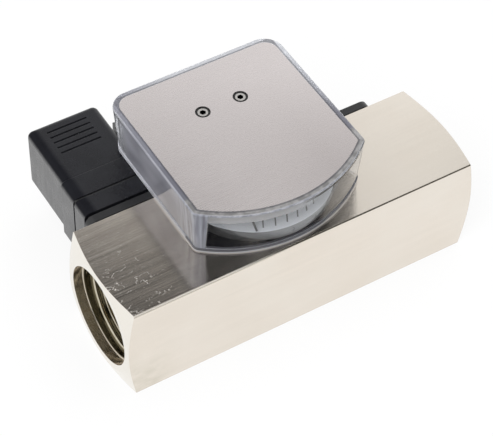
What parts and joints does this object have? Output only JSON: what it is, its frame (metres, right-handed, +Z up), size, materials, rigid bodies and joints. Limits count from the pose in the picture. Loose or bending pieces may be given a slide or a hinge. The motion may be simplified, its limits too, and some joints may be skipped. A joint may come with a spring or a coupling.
{
  "type": "variable area flow meter",
  "caption": "Inline variable area flow meter: square nickel-plated body with threaded ports, a magnetic pointer under a clear fan-shaped cover, and a limit switch with a cable connector.",
  "frame": {"origin": "centre of the body's bottom face", "axes": "+X along the flow from inlet to outlet, +Y towards the cable connector, +Z up through the indicator"},
  "size_m": [0.132, 0.088, 0.0585],
  "materials": {
    "nickel_plate": "satin nickel plated",
    "brass": "turned",
    "steel": "zinc plated",
    "spring_steel": "bright drawn",
    "magnet": "sintered",
    "guide_plastic": "machined",
    "brushed_plate": "fine brushed",
    "screw_steel": "bright",
    "clear_plastic": "polished clear",
    "scale_white": "smooth",
    "needle_black": "matt black",
    "black_plastic": "fine moulded",
    "black_plate": "black anodised",
    "seal_rubber": "moulded",
    "board": "solder mask",
    "reed_glass": "clear",
    "contact_metal": "tin plated"
  },
  "bodies": {
    "meter": {"meter_body": "nickel_plate", "inlet_spider": "brass", "metering_cone": "brass", "spring_seat": "brass", "cone_nut": "steel", "plate_screws": "steel", "housing_screws": "steel", "base_screws": "steel", "plug_screw": "steel", "gland_washer": "steel", "return_spring": "spring_steel", "retaining_rings": "spring_steel", "pivot_clip": "spring_steel", "pivot_pin": "spring_steel", "top_plate": "brushed_plate", "cover_screws": "screw_steel", "clear_cover": "clear_plastic", "scale_band": "scale_white", "switch_housing": "black_plastic", "socket_base": "black_plastic", "plug_hood": "black_plastic", "gland_nut": "black_plastic", "dial_carrier": "black_plastic", "terminal_block": "black_plastic", "back_plate": "black_plate", "base_gasket": "seal_rubber", "plug_seal": "seal_rubber", "gland_seal": "seal_rubber", "screw_seals": "seal_rubber", "switch_board": "board", "reed_switch": "reed_glass", "contact_pins": "contact_metal"},
    "piston": {"piston": "brass", "piston_magnet": "magnet", "piston_guide_ring": "guide_plastic"},
    "pointer": {"pointer_arm": "black_plastic", "pointer_bush": "brass", "follower_magnet": "magnet", "pointer_tip": "needle_black", "counterweight": "brass"}
  },
  "joints": [
    {"name": "piston_slide", "type": "slide", "parent": "meter", "child": "piston", "axis": [1, 0, 0], "range_m": [0, 0.0174], "stiffness_N_per_m": 250, "springref_m": -0.02, "deforming": ["return_spring"]},
    {"name": "pointer_swing", "type": "hinge", "parent": "meter", "child": "pointer", "pos_m": [-0.0032, 0.0285, 0.0464], "axis": [0, 0, 1], "range_deg": [0, 34.6]}
  ],
  "couplings": [
    {"joint": "pointer_swing", "follows": "piston_slide", "rad_per_m": 34.606}
  ]
}
